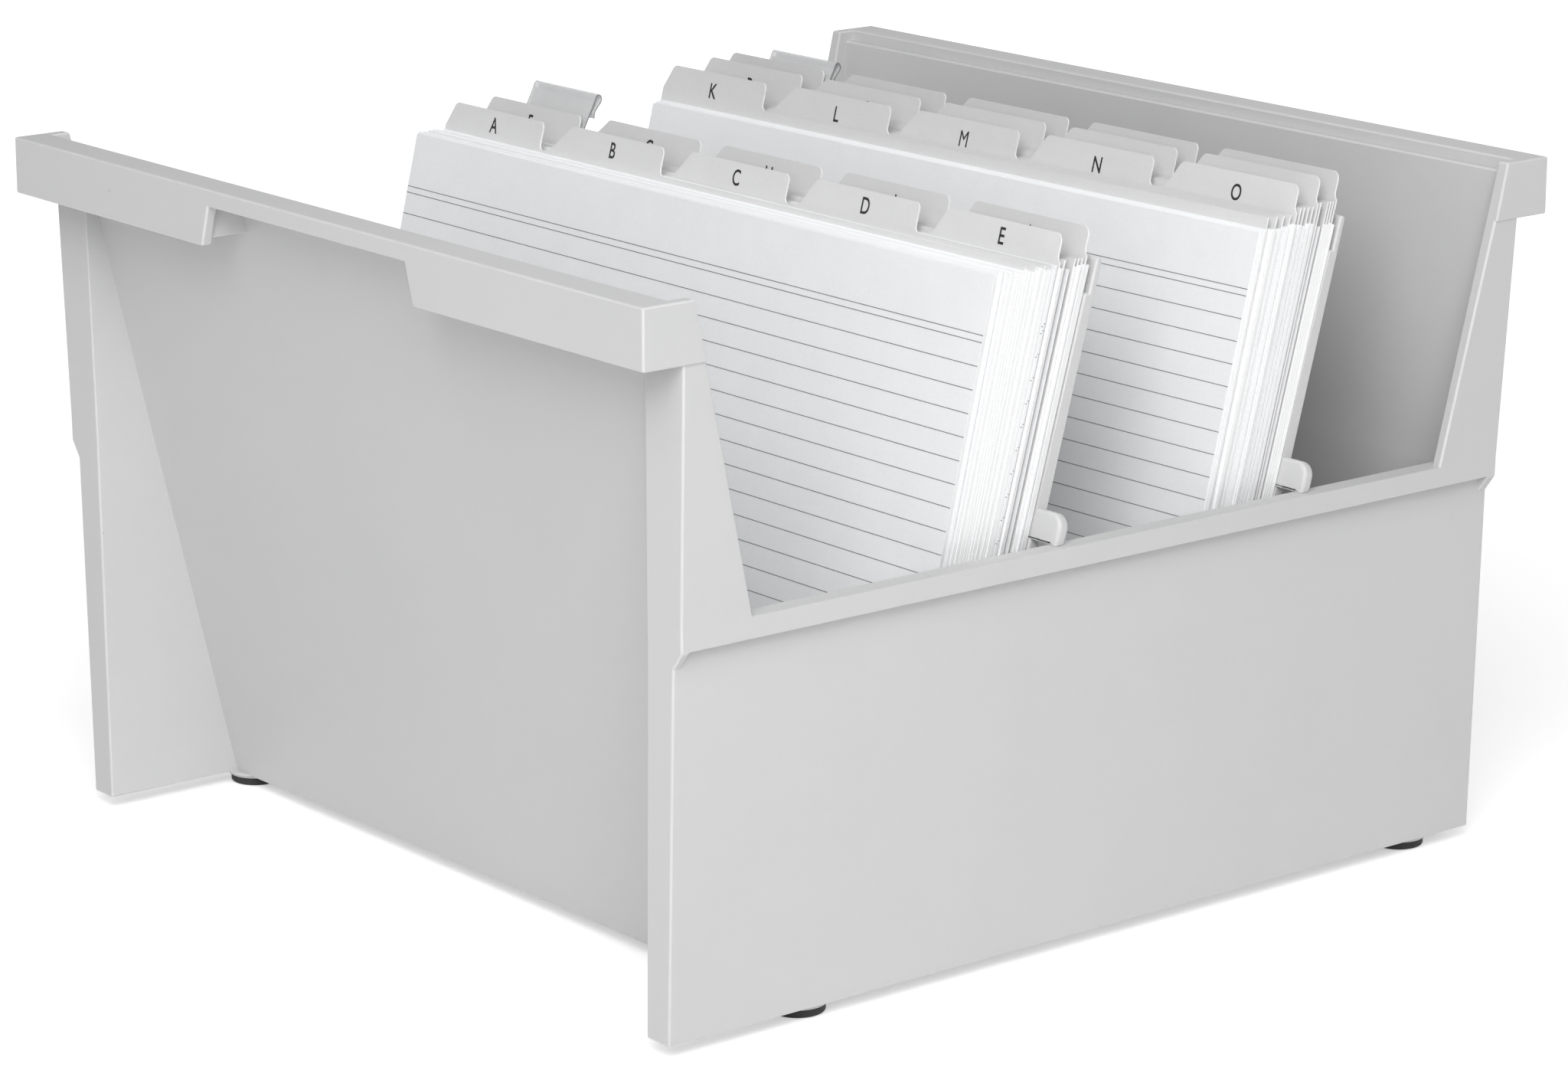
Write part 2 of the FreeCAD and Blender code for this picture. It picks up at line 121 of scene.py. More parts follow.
# Riders: rises are from the card's top edge, loop places are shares of the loop's depth, below and back
rider_width = 0.0245
rider_from_edge = 0.0140
rider_sheet = 0.00035
rider_play = 0.0002
rider_grip = 0.0030
rider_ledge_rise = 0.0045
rider_top_rise = 0.0142
rider_window_lean = 11.0
rider_loop_depth = 0.0016
rider_loop_start = 1.2
rider_loop_shares = ((0.4, 0.0), (0.0, 0.4), (0.25, 1.0), (1.0, 1.2))
rider_window_bow = 0.0002
rider_pinch_rise = 0.0100
rider_pinch_share = 0.5
rider_tail_rise = 0.0084
rider_tail_gap = 0.0009
carrier_thickness = 0.0003
label_sheet = 0.0002
label_gap = 0.0001
label_margin = 0.0005
bend_steps = 6
clip_steps = 3

# Materials: the range that noise fills, and the shades around a material's level
noise_range = (0.3, 0.7)
plastic_shades = (0.965, 1.03)
edge_shades = (0.97, 1.03)
paper_shades = (0.968, 1.025)
most_white = 0.95
# Near-black levels of the dark marks under the support plates' ears: painted shade
notch_shade_levels = (0.012, 0.035)
floor_levels = (0.885, 0.895)
ink_level = 0.12
ink_cover = 0.72

# Camera, floor and lamps: the floor glows more away from the trough, and each lamp has a way from the target,
# a distance and a power
camera_place = (0.8841, -0.7093, 0.3679)
camera_azimuth = 51.14
camera_elevation = 14.85
camera_lens = 117.4
floor_half = 8.0
near_floor = 0.25
far_floor = 1.1
near_glow = 0.42
far_glow = 0.80
world_level = 0.32
lamps = {
    "key": ((0.75, -0.68, 1.0), 1.3, 9.0),
    "fill": ((0.95, -0.85, 0.6), 1.5, 7.2),
    "back": ((-0.8, 0.9, 0.9), 1.7, 2.6),
}
lamp_size = 0.9
target = Vector((0.0, 0.0, 0.08))

half_card = card_width / 2
half_guide = guide_width / 2
tab_pitch = guide_width / tabs_across
dice = np.random.default_rng(seed)


class Value:
    """One shader socket. Arithmetic with it adds Math nodes to its tree."""

    def __init__(self, tree, socket=None):
        self.tree = tree
        self.socket = socket

    def node(self, kind, settings, sockets, output=0):
        """A new node: its settings first, then the numbers or links of its sockets."""
        made = self.tree.nodes.new(kind)
        for name, value in settings.items():
            setattr(made, name, value)
        for name, value in sockets.items():
            if isinstance(value, Value):
                self.tree.links.new(value.socket, made.inputs[name])
            else:
                made.inputs[name].default_value = value
        return Value(self.tree, made.outputs[output]) if len(made.outputs) else None

    def maths(self, operation, *values):
        """A Math node of these values."""
        return self.node("ShaderNodeMath", {"operation": operation}, dict(enumerate(values)))

    def __add__(self, other):
        return self.maths("ADD", self, other)

    def __radd__(self, other):
        return self.maths("ADD", other, self)

    def __sub__(self, other):
        return self.maths("SUBTRACT", self, other)

    def __rsub__(self, other):
        return self.maths("SUBTRACT", other, self)

    def __mul__(self, other):
        return self.maths("MULTIPLY", self, other)

    def __rmul__(self, other):
        return self.maths("MULTIPLY", other, self)

    def __gt__(self, other):
        return self.maths("GREATER_THAN", self, other)

    def __lt__(self, other):
        return self.maths("LESS_THAN", self, other)

    def span(self, low, high, to_low=0.0, to_high=1.0):
        """This value carried from one range to another and held at its ends."""
        return self.node("ShaderNodeMapRange", {}, {0: self, 1: low, 2: high, 3: to_low, 4: to_high})

    def colour(self, low, high):
        """The mix of two colours by this value."""
        mix = {"data_type": "RGBA"}
        return self.node("ShaderNodeMix", mix, {0: self, 6: low, 7: high}, 2)


class Finish:
    """A material in the making: its places, its noises and its surface."""

    def __init__(self, name):
        self.material = bpy.data.materials.new(name)
        self.material.use_nodes = True
        self.material.node_tree.nodes.clear()
        self.start = Value(self.material.node_tree)
        self.place = self.start.node("ShaderNodeTexCoord", {}, {}, "Object")

    def noise(self, size, detail, rough=0.5):
        """Noise whose grains are about as wide as size."""
        sockets = {"Vector": self.place, "Scale": 1 / size, "Detail": detail, "Roughness": rough}
        return self.start.node("ShaderNodeTexNoise", {}, sockets)

    def specks(self, spacing, share):
        """A mask of small round specks, one in each cell of about the spacing."""
        sockets = {"Vector": self.place, "Scale": 1 / spacing}
        return self.start.node("ShaderNodeTexVoronoi", {}, sockets, "Distance").span(share, share * 0.5)

    def bump(self, height, depth):
        """A bump of the surface by a height, as deep as depth."""
        return self.start.node("ShaderNodeBump", {}, {"Height": height, "Distance": depth, "Strength": 1.0})

    def surface(self, sockets):
        """The Principled surface with these sockets, as the material."""
        shader = self.start.node("ShaderNodeBsdfPrincipled", {}, sockets)
        self.start.node("ShaderNodeOutputMaterial", {}, {"Surface": shader})
        return self.material


def grey(level, warm=0.0, alpha=1.0):
    """A colour of one grey level, a little warmer above zero and cooler below."""
    return (level * (1 + warm), level, level * (1 - warm), alpha)


def moulded_plastic(name, level, rough):
    """Light grey moulded plastic: slow flow shades, a fine eroded grain and a few dark specks."""
    finish = Finish(name)
    flow = finish.noise(size=0.12, detail=3.0)
    cloud = finish.noise(size=0.018, detail=4.0, rough=0.6)
    grain = finish.noise(size=0.00045, detail=3.0, rough=0.6)
    speck = finish.specks(spacing=0.034, share=0.012)
    dark, light = plastic_shades
    shade = (flow * 0.5 + cloud * 0.3 + grain * 0.2).span(*noise_range)
    body = shade.colour(grey(level * dark, warm=-0.004), grey(level * light, warm=0.002))
    colour = (speck * 0.35).colour(body, grey(level * 0.25))
    roughness = (cloud * 0.6 + grain * 0.4).span(*noise_range, rough - 0.05, rough + 0.06)
    return finish.surface({"Base Color": colour, "Roughness": roughness,
                           "Normal": finish.bump(grain, depth=0.000022), "IOR": 1.5})


def painted_highlight_edge(name, level, rough):
    """The rounded edges of moulded plastic: a lighter colour than the faces, which is a painted highlight, and
    a little smoother.
    """
    finish = Finish(name)
    edge_mottle = finish.noise(size=0.006, detail=3.0, rough=0.6)
    dark, light = edge_shades
    colour = edge_mottle.span(*noise_range).colour(grey(level * dark), grey(level * light))
    roughness = edge_mottle.span(*noise_range, rough - 0.04, rough + 0.05)
    return finish.surface({"Base Color": colour, "Roughness": roughness, "IOR": 1.5})


def notch_shade_black():
    """Near-black for the dark marks under the support plates' ears: painted shade, with a dull mottle."""
    finish = Finish("notch_shade_black")
    black_mottle = finish.noise(size=0.004, detail=4.0)
    grain = finish.noise(size=0.0004, detail=2.0)
    dark, light = notch_shade_levels
    colour = black_mottle.span(0.35, 0.75).colour(grey(dark), grey(light))
    return finish.surface({"Base Color": colour, "Roughness": black_mottle.span(*noise_range, 0.55, 0.75),
                           "Normal": finish.bump(grain, depth=0.00002)})


def paper(name, level, cool, ruled=False):
    """Smooth card: fine fibres, faint clouds and rare specks.

    A ruled card has ink where the way down from its top is near a rule: one at its head, and the others a
    pitch apart."""
    finish = Finish(name)
    fibre = finish.noise(size=0.0007, detail=4.0, rough=0.65)
    cloud = finish.noise(size=0.009, detail=3.0)
    speck = finish.specks(spacing=0.006, share=0.022)
    dark, light = paper_shades
    shade = (fibre * 0.6 + cloud * 0.4).span(*noise_range)
    body = shade.colour(grey(level * dark, cool), grey(min(level * light, most_white), cool))
    colour = (speck * 0.22).colour(body, grey(level * 0.5, cool))
    if ruled:
        leaf = finish.start.node("ShaderNodeAttribute", {"attribute_name": "leaf"}, {}, "Vector")
        down = finish.start.node("ShaderNodeSeparateXYZ", {}, {0: leaf}, "Y")
        across = Value(down.tree, down.socket.node.outputs["X"])
        reach = Value(down.tree, down.socket.node.outputs["Z"])
        step = down - (second_rule + rule_pitch / 2)
        beside = step.maths("PINGPONG", step, rule_pitch / 2)
        nearest = beside.maths("ABSOLUTE", rule_pitch / 2 - beside)
        rules = (nearest < rule_width / 2) * (down > second_rule - rule_pitch / 4)
        head = down.maths("ABSOLUTE", down - first_rule) < rule_width / 2
        ink = rules.maths("MAXIMUM", rules, head) * (across.maths("ABSOLUTE", across) < reach)
        colour = (ink * ink_cover).colour(colour, grey(ink_level))
    return finish.surface({"Base Color": colour, "Roughness": 0.82, "Specular IOR Level": 0.25,
                           "Normal": finish.bump(fibre, depth=0.00002)})


def printed_ink(name, level):
    """Flat printing ink that lets a little paper through."""
    finish = Finish(name)
    fibre = finish.noise(size=0.0005, detail=3.0)
    colour = fibre.span(0.3, 0.75).colour(grey(level), grey(level * 2.2))
    return finish.surface({"Base Color": colour, "Roughness": 0.6})


def clear_sheet(name, alpha, level):
    """Clear bent plastic with a faint haze."""
    finish = Finish(name)
    haze = finish.noise(size=0.009, detail=2.0)
    seen = haze.span(*noise_range, alpha * 0.95, min(alpha * 1.05, 1.0))
    colour = haze.span(*noise_range).colour(grey(level * 0.97, warm=-0.01), grey(level, warm=-0.01))
    return finish.surface({"Base Color": colour, "Roughness": 0.12, "Alpha": seen})


finishes = {
    "trough_plastic": moulded_plastic("trough_plastic", 0.62, 0.50),
    # The _edge finishes are lighter than their faces: a painted highlight on the rounded edges
    "trough_plastic_edge": painted_highlight_edge("trough_plastic_edge", 0.67, 0.38),
    "plate_plastic": moulded_plastic("plate_plastic", 0.63, 0.42),
    "plate_plastic_edge": painted_highlight_edge("plate_plastic_edge", 0.69, 0.36),
    # The rubber slot gets near-black: painted shade under the support plates' ears
    "rubber": notch_shade_black(),
    "card_paper": paper("card_paper", 0.90, -0.014, ruled=True),
    # card_edge is lighter than card_paper: painted light on the cards' edges, the stacks' sides and tops
    "card_edge": paper("card_edge", 0.94, -0.004),
    "guide_board": paper("guide_board", 0.725, 0.0),
    # The boards of the second and third rows are darker: painted shade from the rows in front
    "guide_board_shaded_second": paper("guide_board_shaded_second", 0.69, 0.0),
    "guide_board_shaded_third": paper("guide_board_shaded_third", 0.65, 0.0),
    "guide_edge": paper("guide_edge", 0.93, 0.0),
    "label_paper": paper("label_paper", 0.78, 0.0),
    "letter_ink": printed_ink("letter_ink", 0.015),
    "rule_ink": printed_ink("rule_ink", 0.16),
    "clear_sheet": clear_sheet("clear_sheet", 0.62, 0.80),
    "clear_edge": clear_sheet("clear_edge", 0.75, 0.24),
}


def add_piece(name, mesh, body, slot, material_names, *nodes):
    """A new piece of a body that stands for the named CAD nodes."""
    piece = bpy.data.objects.new(name, mesh)
    bpy.context.scene.collection.objects.link(piece)
    for material_name in material_names:
        mesh.materials.append(finishes[material_name])
    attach(piece, body)
    if nodes:
        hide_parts(*nodes)
    return piece


def body_of(node):
    """The body that carries a CAD node."""
    bodies = frame["record"]["behaviour"]["bodies"]
    return next(body for body, members in bodies.items() if node in members)


def face_room(edge):
    """How far the narrower of an edge's two faces reaches away from it."""
    start = edge.verts[0].co
    way = (edge.verts[1].co - start).normalized()
    return min(max((corner.co - start).cross(way).length for corner in face.verts)
               for face in edge.link_faces)


def merged(node, radius):
    """A copy of a CAD node's mesh with its loose triangles joined.

    Its outer edges are marked for rounding, with the whole radius or with a share of the room that the faces
    beside them leave."""
    shape = bmesh.new()
    shape.from_mesh(frame["nodes"][node].data)
    bmesh.ops.remove_doubles(shape, verts=shape.verts, dist=merge_reach)
    bmesh.ops.dissolve_limit(shape, angle_limit=math.radians(flat_angle), verts=shape.verts,
                             edges=shape.edges)
    marks = shape.edges.layers.float.new("bevel_weight_edge")
    for edge in shape.edges:
        if edge.calc_face_angle_signed(0.0) > math.radians(least_corner):
            edge[marks] = min(1.0, free_share * face_room(edge) / radius)
    mesh = bpy.data.meshes.new(node + "_rounded")
    shape.to_mesh(mesh)
    shape.free()
    return mesh


def rounded(name, node, slot, radius):
    """A CAD node's shape with its edges rounded as a mould leaves them."""
    piece = add_piece(name, merged(node, radius), body_of(node), slot, [slot, slot + "_edge"], node)
    bevel = piece.modifiers.new("rounded edges", "BEVEL")
    bevel.width = radius
    bevel.segments = round_steps
    bevel.limit_method = "WEIGHT"
    bevel.use_clamp_overlap = False
    # The rounded faces take the second, lighter finish: a painted highlight
    bevel.material = 1


def vertices(node):
    """The places of a CAD node's vertices, as rows."""
    mesh = frame["nodes"][node].data
    flat = np.empty(len(mesh.vertices) * 3)
    mesh.vertices.foreach_get("co", flat)
    return flat.reshape(-1, 3)


def leaf_planes(node):
    """Foot y, foot z, lean and top y of each flat side of a card or stack, in order from the front.

    The corners in Y and Z at the foot and at the top are sorted from the front and paired."""
    section = np.unique(np.round(vertices(node)[:, 1:], section_digits), axis=0)
    low = section[section[:, 1] < section[:, 1].min() + foot_band]
    high = section[section[:, 1] > section[:, 1].max() - top_band]
    low, high = low[np.argsort(low[:, 0])], high[np.argsort(high[:, 0])]
    rise = high - low
    return low[:, 0], low[:, 1], np.arctan2(rise[:, 0], rise[:, 1]), high[:, 0]


def skew_at(number, foot_y):
    """The skew in plan of the leaves of a pack: whole at its first card and none at its plate."""
    first, last = pack_ends[number]
    return skew_shares[number] * (last - foot_y) / (last - first)


def board_plane(node):
    """Foot y, foot z and lean of a guide's front side, from its foremost foot and its highest point."""
    section = vertices(node)[:, 1:]
    foot = section[np.argmin(section[:, 0])]
    top = section[np.argmax(section[:, 1])]
    return foot[0], foot[1], math.atan2(top[0] - foot[0], top[1] - foot[1])


def on_leaf(across, up, out, foot_y, foot_z, lean, skew):
    """Places on a leaning sheet: up along its height, out square to it towards the rear, and skewed in plan,
    so y is foot y + up sin(lean) + out cos(lean) + skew x, and z is foot z + up cos(lean) - out sin(lean)."""
    y = foot_y + up * np.sin(lean) + out * np.cos(lean) + skew * across
    z = foot_z + up * np.cos(lean) - out * np.sin(lean)
    return np.stack(np.broadcast_arrays(across, y, z), axis=-1)


def mesh_from(name, points, faces, face_materials=None, leaf=None):
    """A mesh of points and faces, with the material of each face and the leaf attribute where given."""
    mesh = bpy.data.meshes.new(name)
    mesh.from_pydata(points.reshape(-1, 3).tolist(), [], faces.tolist())
    if face_materials is not None:
        mesh.polygons.foreach_set("material_index", face_materials.astype(np.int32))
    if leaf is not None:
        mesh.attributes.new("leaf", "FLOAT_VECTOR", "POINT").data.foreach_set("vector", leaf.ravel())
    mesh.update()
    return mesh


def block_faces(columns, rows):
    """The quads of one bowed sheet: a grid in front, a grid behind and the rim between them.

    Its points are numbered (side, row, column)."""
    numbers = np.arange(2 * rows * columns).reshape(2, rows, columns)

    def quads(a, b, c, d):
        return np.stack([a, b, c, d], axis=-1).reshape(-1, 4)

    def around(grid):
        return grid[0], grid[:, -1], grid[-1, ::-1], grid[::-1, 0]

    front, rear = numbers
    front_quads = quads(front[:-1, :-1], front[:-1, 1:], front[1:, 1:], front[1:, :-1])
    rear_quads = quads(rear[:-1, :-1], rear[1:, :-1], rear[1:, 1:], rear[:-1, 1:])
    rim_quads = np.concatenate([quads(edge_front[:-1], edge_rear[:-1], edge_rear[1:], edge_front[1:])
                                for edge_front, edge_rear in zip(around(front), around(rear))])
    return np.concatenate([front_quads, rear_quads]), rim_quads


def sheets(name, number, foot_y, foot_z, lean, thickness, shift, lift, turn, reach, swell, ticked=()):
    """Many thin cards as one mesh, each a grid over its width x and height u.

    A card is turned in its own plane, to x cos(turn) - u sin(turn) + shift across and to u cos(turn)
    + x sin(turn) + lift up. Its rear side lies thickness (1 + (swell - 1) u / height) behind its front side,
    since the cards stand looser at the top. The leaf attribute holds the place across, the way down from the
    top and the reach of the printed rules."""
    columns, rows = across_steps + 1, up_steps + 1
    count = len(foot_y)
    across = np.linspace(-half_card, half_card, columns)[None, None, None, :]
    up = np.linspace(0, card_height, rows)[None, None, :, None]
    side = np.array([0, 1])[None, :, None, None]

    def each(values):
        return np.asarray(values, float)[:, None, None, None]

    moved_across = across * np.cos(each(turn)) - up * np.sin(each(turn)) + each(shift)
    moved_up = up * np.cos(each(turn)) + across * np.sin(each(turn)) + each(lift)
    out = side * each(thickness) * (1 + (each(swell) - 1) * up / card_height)
    points = on_leaf(moved_across, moved_up, out, each(foot_y), each(foot_z), each(lean),
                     each(skew_at(number, foot_y)))
    down = np.broadcast_to(card_height - up, points.shape[:-1])
    leaf = np.stack([np.broadcast_to(across, down.shape), down, np.broadcast_to(each(reach), down.shape)],
                    axis=-1)
    side_quads, rim_quads = block_faces(columns, rows)
    stride = 2 * rows * columns
    starts = (np.arange(count) * stride)[:, None, None]
    faces = np.concatenate([(quads[None] + starts).reshape(-1, 4) for quads in (side_quads, rim_quads)])
    rim_material = np.ones((count, len(rim_quads)), int)
    rim_material[list(ticked)] = 0
    materials = np.concatenate([np.zeros(count * len(side_quads), int), rim_material.ravel()])
    return mesh_from(name, points, faces, materials, leaf)


def pack_number(node):
    """The pack that a stack of cards stands in."""
    return int(node.split("_")[1])


def stack_of_cards(node):
    """The single cards of a stack node, between each pair of its flat sides.

    They stand in groups with gaps between them. The cards of a group touch, and each group is a little out of
    line. The leans of the cards go evenly from that of the front side to that of the rear side."""
    foot_y, foot_z, lean, top_y = leaf_planes(node)
    number = pack_number(node)
    found = []
    for front, rear in zip(range(0, len(foot_y), 2), range(1, len(foot_y), 2)):
        run = foot_y[rear] - foot_y[front]
        squeeze = abs(skew_at(number, foot_y[front]) - skew_at(number, foot_y[rear])) * half_card
        depth = (run - squeeze) * math.cos(lean[front])
        count = max(1, round(depth / card_pitch))
        starts = dice.random(count + 1) < 1 / group_cards
        gaps = np.where(starts, dice.exponential(1.0, count + 1), tight_gap)
        shares = (np.cumsum(gaps) / gaps.sum())[:-1]
        card_room = card_thickness / math.cos(lean[front])
        free_room = run - squeeze - count * card_room
        spread = (run - card_room) / (run - card_room - squeeze)
        step = (np.arange(count) * card_room + shares * free_room) * spread
        card_lean = lean[front] + (lean[rear] - lean[front]) * step / run
        swell = min((top_y[rear] - top_y[front]) / run, most_swell)
        touching = np.append(np.diff(step), card_room) * np.cos(card_lean) * snug
        thickness = np.where(starts[1:], card_thickness, touching)
        found.append(np.stack([foot_y[front] + step, np.full(count, foot_z.min()), card_lean, starts[:-1],
                               thickness, np.full(count, swell)]))
    card_y, card_z, card_lean, starts, thickness, swell = np.concatenate(found, axis=1)
    count = len(card_y)
    group = np.cumsum(starts).astype(int)
    shift = dice.normal(0, group_side, group[-1] + 1)[group] + dice.normal(0, single_side, count)
    turn = dice.normal(0, group_turn, group[-1] + 1)[group]
    lift = np.abs(dice.normal(0, group_top, group[-1] + 1))[group] + np.abs(dice.normal(0, single_top, count))
    lift += half_card * np.abs(np.sin(turn))
    reach = np.full(count, half_card - edge_margin)
    ticked = []
    if node == ticked_stack:
        ticked = range(count - ticked_count, count)
        reach[-ticked_count:] = card_width
        lift[-1] += tick_offset
    return sheets(node + "_sheets", number, card_y, card_z, card_lean, thickness, shift, lift, turn, reach,
                  swell, ticked)


def single_card(node, number):
    """One card that stands by itself. The rules of a first card are a piece of their own, and those of the
    others are in the material."""
    foot_y, foot_z, lean = (values[:1] for values in leaf_planes(node)[:3])
    reach = 0.0 if node.startswith("front") else half_card - edge_margin
    return sheets(node + "_sheet", number, foot_y, foot_z, lean, [card_thickness], [0], [0], [0], [reach],
                  [1.0])


def ruling(name, plane, skew):
    """The printed rules of one card: strips along X, a hair in front of its face."""
    count = int((card_height - second_rule) / rule_pitch)
    down = np.concatenate([[first_rule], second_rule + rule_pitch * np.arange(count)])
    across = np.linspace(-half_card, half_card, across_steps + 1)
    half = rule_width / 2
    up = np.stack([card_height - down - half, card_height - down + half], axis=-1)[:, :, None]
    points = on_leaf(across[None, None, :], up, -proud, *plane, skew)
    numbers = np.arange(points[..., 0].size).reshape(points.shape[:-1])
    low, high = numbers[:, 0], numbers[:, 1]
    faces = np.stack([low[:, :-1], low[:, 1:], high[:, 1:], high[:, :-1]], axis=-1).reshape(-1, 4)
    return mesh_from(name, points, faces)


def tab_side(base_x, direction, width):
    """Points of an S-shaped tab side: an arc at its foot, a straight run and an arc at its top.

    Both arcs turn by the same angle, and the straight run between them touches both."""
    radius = min(tab_radius, width / 2)
    rise = tab_height - 2 * radius
    reach = math.hypot(width, rise)
    turn = math.atan2(rise, width) + math.asin(2 * radius / reach)
    angle = np.linspace(0, turn, arc_steps)
    low = np.stack([radius * np.sin(angle), radius - radius * np.cos(angle)], axis=-1)
    back = angle[::-1]
    high = np.stack([width - radius * np.sin(back), tab_height - radius + radius * np.cos(back)],
                    axis=-1)
    side = np.concatenate([low, high])
    side[:, 0] = base_x + direction * side[:, 0]
    side[:, 1] += guide_height
    return side


def tab_left(place):
    """The left end of a tab's part of the board."""
    return place * tab_pitch - half_guide


def guide_mesh(node, plane, place, skew, rise):
    """A guide board: its outline in front and behind, and the rim between them.

    All but its foot stands higher by its rise, and its sides end in line with the cards."""
    last = place == tabs_across - 1
    left_width = tab_left_widths[place]
    right_width, right_inset = (end_side_width, 0.0) if last else (tab_right_width, tab_right_inset)
    outline = [np.array([[-half_guide, 0.0], [half_guide, 0.0]])]
    if not last:
        outline.append(np.array([[half_guide, guide_height]]))
    outline.append(tab_side(tab_left(place) + tab_pitch - right_inset, -1, right_width))
    outline.append(tab_side(tab_left(place) + tab_left_top - left_width, 1, left_width)[::-1])
    if place > 0:
        outline.append(np.array([[-half_guide, guide_height]]))
    outline = np.concatenate(outline)
    outline[:, 0] = np.clip(outline[:, 0], -guide_side, guide_side)
    outline[2:, 1] += rise
    count = len(outline)
    out = np.array([0, guide_thickness])[:, None]
    points = on_leaf(outline[None, :, 0], outline[None, :, 1], out, *plane, skew)
    here = np.arange(count)
    after = np.roll(here, -1)
    rim = np.stack([here, here + count, after + count, after], axis=-1)
    faces = [here.tolist(), (here[::-1] + count).tolist()] + rim.tolist()
    mesh = bpy.data.meshes.new(node + "_board")
    mesh.from_pydata(points.reshape(-1, 3).tolist(), [], faces)
    mesh.polygons.foreach_set("material_index", np.array([0, 0] + [1] * count, np.int32))
    mesh.update()
    return mesh


def letter_mesh(name, text, middle, height, plane, skew):
    """Printed letters on a tab, a hair in front of its face. Their middle is at a place across and at a height
    above the board's foot."""
    curve = bpy.data.curves.new(name, "FONT")
    curve.body = text
    curve.align_x = "CENTER"
    curve.offset = 0.0 if text in thin_letters else letter_boldness
    drawing = bpy.data.objects.new(name + "_drawing", curve)
    bpy.context.scene.collection.objects.link(drawing)
    bpy.context.view_layer.update()
    mesh = bpy.data.meshes.new_from_object(drawing.evaluated_get(bpy.context.evaluated_depsgraph_get()))
    bpy.data.objects.remove(drawing)
    flat = np.empty(len(mesh.vertices) * 3)
    mesh.vertices.foreach_get("co", flat)
    flat = flat.reshape(-1, 3)
    scale = letter_height / (flat[:, 1].max() - flat[:, 1].min())
    centre = (flat[:, 0].max() + flat[:, 0].min()) / 2
    across = (flat[:, 0] - centre) * scale * letter_width_share + middle
    up = (flat[:, 1] - flat[:, 1].min()) * scale + height - letter_height / 2
    points = on_leaf(across, up, -proud, *plane, skew)
    mesh.vertices.foreach_set("co", points.ravel())
    mesh.materials.clear()
    mesh.update()
    return mesh


def curve_through(points, steps):
    """A smooth line through points by the Catmull-Rom formula, sampled at equal shares of each run."""
    points = np.asarray(points, float)
    padded = np.concatenate([2 * points[:1] - points[1:2], points, 2 * points[-1:] - points[-2:-1]])
    share = (np.arange(steps) / steps)[None, :, None]
    a, b, c, d = (padded[k:len(padded) - 3 + k, None] for k in range(4))
    run = 0.5 * (2 * b + (c - a) * share + (2 * a - 5 * b + 4 * c - d) * share ** 2
                 + (3 * b - a - 3 * c + d) * share ** 3)
    return np.concatenate([run.reshape(-1, points.shape[1]), points[-1:]])


def bent_sheet(name, path, thickness, left, right, plane, skew):
    """A bent sheet: a path in rise and depth, thickened on its inner side and carried along X.

    Its inner points are the path's points moved square to it by the thickness."""
    step = np.gradient(path, axis=0)
    step /= np.linalg.norm(step, axis=1)[:, None]
    inner = path + thickness * np.stack([-step[:, 1], step[:, 0]], axis=-1)
    across = np.array([left, right])[None, None, :]
    rise = np.stack([path[:, 0], inner[:, 0]])[:, :, None]
    depth = np.stack([path[:, 1], inner[:, 1]])[:, :, None]
    points = on_leaf(across, card_height + rise, depth, *plane, skew)
    faces, rim = block_faces(2, len(path))
    materials = np.repeat([0, 1], [len(faces), len(rim)])
    return mesh_from(name, points, np.concatenate([faces, rim]), materials)


def rider_pieces(number):
    """The clear rider of one pack with its blank label. Its paths are pairs of rise and depth."""
    plane = tuple(values[0] for values in leaf_planes("rider_card_%d" % number)[:3])
    skew = skew_at(number, plane[0])
    front = -rider_play - rider_sheet
    rear = carrier_thickness + rider_play
    top_back = front + (rider_top_rise - rider_ledge_rise) * math.tan(math.radians(rider_window_lean))
    loop = rider_loop_depth
    left = rider_from_edge - half_card
    right = left + rider_width
    body = "rider_%d" % number

    window_top = (rider_top_rise - rider_loop_start * loop, top_back - rider_window_bow)
    loop_points = [(rider_top_rise - below * loop, top_back + back * loop)
                   for below, back in rider_loop_shares]
    tail = [(rider_pinch_rise, top_back + rider_pinch_share * loop),
            (rider_tail_rise, top_back + rider_tail_gap)]
    bend = curve_through([window_top] + loop_points + tail, bend_steps)
    path = np.concatenate([[(-rider_grip, front), (rider_ledge_rise, front)], bend])
    sheet = bent_sheet("rider_%d_window" % number, path, rider_sheet, left, right, plane, skew)
    add_piece("rider_%d_window" % number, sheet, body, "clear_sheet", ["clear_sheet", "clear_edge"], body)

    clip = curve_through([(-rider_grip, rear + 2 * rider_sheet), (0.0, rear),
                          (rider_ledge_rise - rider_sheet, rear), (rider_ledge_rise, rear - rider_sheet),
                          (rider_ledge_rise, front + rider_sheet)], clip_steps)
    sheet = bent_sheet("rider_%d_clip" % number, clip, rider_sheet, left, right, plane, skew)
    add_piece("rider_%d_clip" % number, sheet, body, "clear_sheet", ["clear_sheet", "clear_edge"])

    high = rider_top_rise - loop
    share = (high - rider_ledge_rise) / (rider_top_rise - rider_ledge_rise)
    back = front + rider_sheet + label_gap
    label_path = np.array([[rider_ledge_rise + label_gap, back], [high, back + (top_back - front) * share]])
    sheet = bent_sheet("rider_label_%d_paper" % number, label_path, label_sheet, left + label_margin,
                       right - label_margin, plane, skew)
    add_piece("rider_label_%d_paper" % number, sheet, body, "label_paper", ["label_paper", "label_paper"],
              "rider_label_%d" % number)


